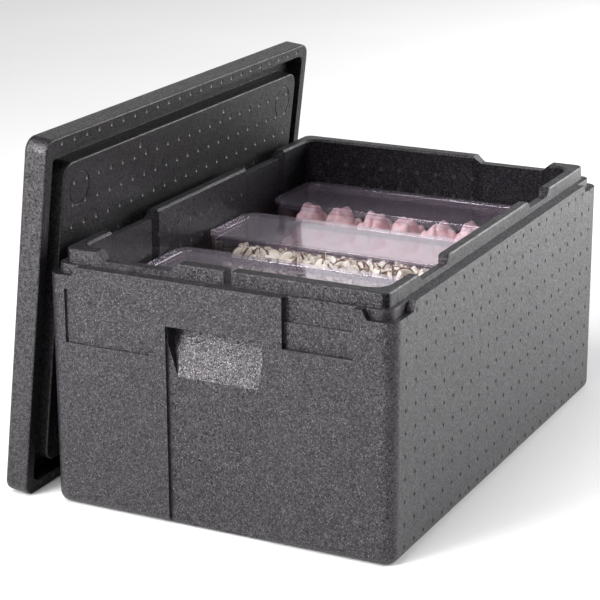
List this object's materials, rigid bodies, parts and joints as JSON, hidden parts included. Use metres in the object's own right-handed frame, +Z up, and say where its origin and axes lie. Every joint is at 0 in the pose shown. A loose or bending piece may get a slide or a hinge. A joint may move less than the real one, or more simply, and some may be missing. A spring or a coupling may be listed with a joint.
{
  "type": "insulated food carrier",
  "caption": "Open top-loading insulated food carrier of moulded bead foam, lid leaning on its side, with clear lidded boxes of food standing inside.",
  "frame": {"origin": "centre of the carrier's flat underside", "axes": "+Z up, +Y along the carrier's length from the front handle end to the rear handle end, +X to the right as seen from the front handle end, away from the leaning lid"},
  "size_m": [0.4624, 0.607, 0.4047],
  "materials": {
    "epp_body": "moulded charcoal bead foam with a fine speckle, matt",
    "epp_lid": "moulded charcoal bead foam with a fine speckle, matt with a slight skin sheen",
    "clear_pan": "clear moulded plastic with a faint violet tint",
    "clear_lid": "clear moulded plastic with a faint violet tint, slightly hazy",
    "ham": "moist sliced ham, soft satin",
    "poultry": "moist sliced poultry, soft satin",
    "mushroom": "raw sliced mushroom, matt with brown edges"
  },
  "bodies": {
    "carrier": {"carrier_body": "epp_body"},
    "lid": {"carrier_lid": "epp_lid"},
    "box_front": {"pan_front": "clear_pan", "poultry_bed_front": "poultry", "poultry_roll_1": "poultry", "poultry_roll_2": "poultry", "poultry_roll_3": "poultry", "poultry_roll_4": "poultry", "poultry_roll_5": "poultry", "poultry_roll_6": "poultry", "poultry_roll_7": "poultry"},
    "box_middle": {"pan_middle": "clear_pan", "mushroom_bed_middle": "mushroom", "mushroom_slices_middle": "mushroom"},
    "box_rear": {"pan_rear": "clear_pan", "ham_bed_rear": "ham", "ham_roll_1": "ham", "ham_roll_2": "ham", "ham_roll_3": "ham", "ham_roll_4": "ham", "ham_roll_5": "ham", "ham_roll_6": "ham", "ham_roll_7": "ham"},
    "box_lid_front": {"pan_lid_front": "clear_lid"},
    "box_lid_middle": {"pan_lid_middle": "clear_lid"},
    "box_lid_rear": {"pan_lid_rear": "clear_lid"}
  },
  "joints": [
    {"name": "lid_lift", "type": "slide", "parent": "carrier", "child": "lid", "axis": [0, 0, 1], "range_m": [0, 0.42]},
    {"name": "box_front_lift", "type": "slide", "parent": "carrier", "child": "box_front", "axis": [0, 0, 1], "range_m": [0, 0.3]},
    {"name": "box_lid_front_lift", "type": "slide", "parent": "box_front", "child": "box_lid_front", "axis": [0, 0, 1], "range_m": [0, 0.06]},
    {"name": "box_middle_lift", "type": "slide", "parent": "carrier", "child": "box_middle", "axis": [0, 0, 1], "range_m": [0, 0.3]},
    {"name": "box_lid_middle_lift", "type": "slide", "parent": "box_middle", "child": "box_lid_middle", "axis": [0, 0, 1], "range_m": [0, 0.06]},
    {"name": "box_rear_lift", "type": "slide", "parent": "carrier", "child": "box_rear", "axis": [0, 0, 1], "range_m": [0, 0.3]},
    {"name": "box_lid_rear_lift", "type": "slide", "parent": "box_rear", "child": "box_lid_rear", "axis": [0, 0, 1], "range_m": [0, 0.06]}
  ]
}
